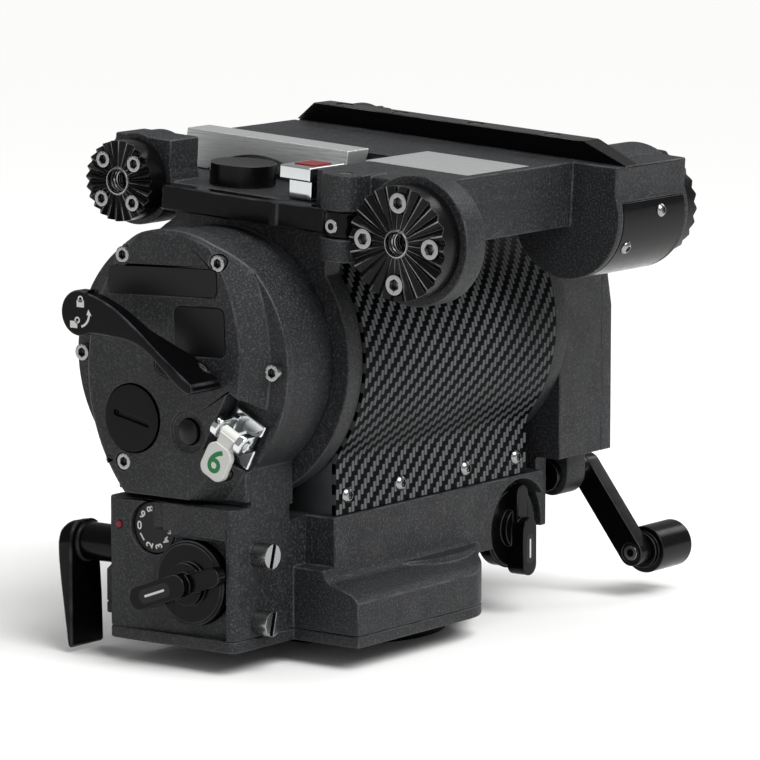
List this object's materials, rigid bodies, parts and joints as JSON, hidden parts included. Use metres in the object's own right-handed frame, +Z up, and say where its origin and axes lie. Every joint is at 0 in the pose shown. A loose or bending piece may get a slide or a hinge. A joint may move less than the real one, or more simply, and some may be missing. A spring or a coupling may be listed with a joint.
{
  "type": "fluid_video_head",
  "caption": "Fluid video head with a pan base, a tilt drum under a carbon cover, brake levers, drag knobs, a crank and a clamping camera platform with toothed rosettes",
  "frame": {"origin": "on the pan axis, at the underside of the round foot", "axes": "+X along the tilt axis to the operator's right, +Y to the front, +Z up"},
  "size_m": [0.2954, 0.1929, 0.2217],
  "materials": {
    "body_paint": "cast aluminium under a fine-textured dark grey powder coat",
    "black_anodised": "black anodised, machined",
    "gloss_black": "smooth gloss black",
    "satin_black": "satin black",
    "carbon": "woven carbon fibre under gloss lacquer",
    "bright_steel": "bright stainless steel",
    "chrome": "polished chrome",
    "tag_white": "white enamel with a plain green figure",
    "index_red": "red enamel",
    "jaw_metal": "brushed aluminium",
    "bearing_steel": "ground steel",
    "inner_metal": "machined aluminium",
    "lining": "brake lining",
    "gear_brass": "cut brass"
  },
  "bodies": {
    "mount": {"mount_flange": "black_anodised", "pan_spindle": "bearing_steel", "pan_drag_rotor": "inner_metal", "pan_brake_disc": "inner_metal"},
    "head": {"pan_bearing_lower": "bearing_steel", "pan_bearing_upper": "bearing_steel", "pan_bearing_carrier": "inner_metal", "pan_drag_cup": "inner_metal", "pan_brake_shoe": "lining", "base_casting": "body_paint", "bottom_plate": "body_paint", "bottom_plate_screws": "bright_steel", "column_screws": "bright_steel", "side_cover": "body_paint", "side_cover_screws": "bright_steel", "name_strip": "gloss_black", "badge_plate": "gloss_black", "index_yoke": "chrome", "index_dot": "index_red", "tilt_brake_pad": "lining", "drum_housing": "inner_metal", "carbon_cover": "carbon", "carbon_cover_screws": "bright_steel", "right_tower": "body_paint", "tower_cover": "body_paint", "tower_cover_screws": "bright_steel", "tilt_bearings": "bearing_steel", "spring_carriage": "inner_metal", "spring_plunger": "bearing_steel"},
    "platform": {"tilt_axle": "bearing_steel", "tilt_brake_disc": "inner_metal", "tilt_drag_rotor": "inner_metal", "counterbalance_cam": "inner_metal", "platform_casting": "body_paint", "cheeks": "body_paint", "rear_rosettes": "black_anodised", "front_rosettes": "black_anodised", "rosette_screws": "bright_steel", "guide_rail": "black_anodised", "wear_strip": "jaw_metal", "rear_cover_plate": "black_anodised", "platform_screws": "bright_steel"},
    "pan_knob": {"pan_fluid_knob": "gloss_black", "pan_knob_gear": "gear_brass"},
    "dial": {"fluid_dial": "gloss_black", "dial_gear": "gear_brass"},
    "pan_lever": {"pan_brake_lever": "gloss_black"},
    "tilt_lever": {"tilt_brake_lever": "gloss_black"},
    "tilt_knob": {"tilt_fluid_knob": "gloss_black"},
    "crank": {"crank_arm": "gloss_black", "crank_shaft": "black_anodised"},
    "grip": {"crank_grip": "satin_black"},
    "balance_screw": {"counterbalance_screw": "bearing_steel"},
    "light_button": {"light_button": "satin_black"},
    "battery_cap": {"battery_cap": "gloss_black"},
    "index_tag": {"index_tag": "tag_white"},
    "release_lever": {"release_lever": "gloss_black"},
    "jaw": {"clamp_jaw": "jaw_metal"},
    "cam": {"clamp_cam": "black_anodised"},
    "catch": {"safety_catch": "chrome"}
  },
  "joints": [
    {"name": "pan", "type": "hinge", "parent": "mount", "child": "head", "pos_m": [0, 0, 0], "axis": [0, 0, 1], "continuous": true},
    {"name": "tilt", "type": "hinge", "parent": "head", "child": "platform", "pos_m": [0, 0, 0.1282], "axis": [1, 0, 0], "range_deg": [-75, 60]},
    {"name": "pan_drag", "type": "hinge", "parent": "head", "child": "pan_knob", "pos_m": [-0.115, -0.0106, 0.0376], "axis": [-1, 0, 0], "range_deg": [-150, 150]},
    {"name": "dial_turn", "type": "hinge", "parent": "head", "child": "dial", "pos_m": [-0.115, 0.0104, 0.0583], "axis": [-1, 0, 0], "range_deg": [-150, 150]},
    {"name": "tilt_drag", "type": "hinge", "parent": "head", "child": "tilt_knob", "pos_m": [0.0625, -0.046, 0.0386], "axis": [0, -1, 0], "range_deg": [-150, 150]},
    {"name": "pan_brake", "type": "hinge", "parent": "head", "child": "pan_lever", "pos_m": [-0.108, 0.045, 0.047], "axis": [0, 1, 0], "range_deg": [0, 60]},
    {"name": "tilt_brake", "type": "hinge", "parent": "head", "child": "tilt_lever", "pos_m": [-0.12, 0, 0.1282], "axis": [1, 0, 0], "range_deg": [-45, 0]},
    {"name": "crank_turn", "type": "hinge", "parent": "head", "child": "crank", "pos_m": [0.121, -0.04, 0.0565], "axis": [1, 0, 0], "continuous": true},
    {"name": "grip_spin", "type": "hinge", "parent": "crank", "child": "grip", "pos_m": [0.13, -0.06733, 0.02075], "axis": [1, 0, 0], "continuous": true},
    {"name": "balance_turn", "type": "hinge", "parent": "head", "child": "balance_screw", "pos_m": [0.10495, -0.04, 0.09], "axis": [0, 0, 1], "continuous": true},
    {"name": "light_press", "type": "slide", "parent": "head", "child": "light_button", "axis": [1, 0, 0], "range_m": [0, 0.0015], "stiffness_N_per_m": 400, "springref_m": -0.001},
    {"name": "cap_turn", "type": "hinge", "parent": "head", "child": "battery_cap", "pos_m": [-0.118, 0.0196, 0.1037], "axis": [-1, 0, 0], "range_deg": [0, 90]},
    {"name": "tag_swing", "type": "hinge", "parent": "head", "child": "index_tag", "pos_m": [-0.1212, -0.03382, 0.1013], "axis": [0, 0.8829, 0.4695], "range_deg": [0, 80]},
    {"name": "release", "type": "hinge", "parent": "platform", "child": "release_lever", "pos_m": [-0.084, -0.06242, 0.18676], "axis": [0, -0.0567, 0.9984], "range_deg": [0, 75]},
    {"name": "jaw_slide", "type": "slide", "parent": "platform", "child": "jaw", "axis": [-1, 0, 0], "range_m": [0, 0.004]},
    {"name": "cam_turn", "type": "hinge", "parent": "platform", "child": "cam", "pos_m": [-0.06, 0.00801, 0.19877], "axis": [0, -0.0567, 0.9984], "range_deg": [-45, 0]},
    {"name": "catch_slide", "type": "slide", "parent": "platform", "child": "catch", "axis": [0, 0.9984, 0.0567], "range_m": [0, 0.004], "stiffness_N_per_m": 300, "springref_m": -0.002}
  ],
  "couplings": [
    {"joint": "dial_turn", "follows": "pan_drag", "ratio": -1},
    {"joint": "balance_turn", "follows": "crank_turn", "ratio": -1.2},
    {"joint": "jaw_slide", "follows": "release", "m_per_rad": 0.0030176},
    {"joint": "cam_turn", "follows": "release", "ratio": -0.59}
  ]
}
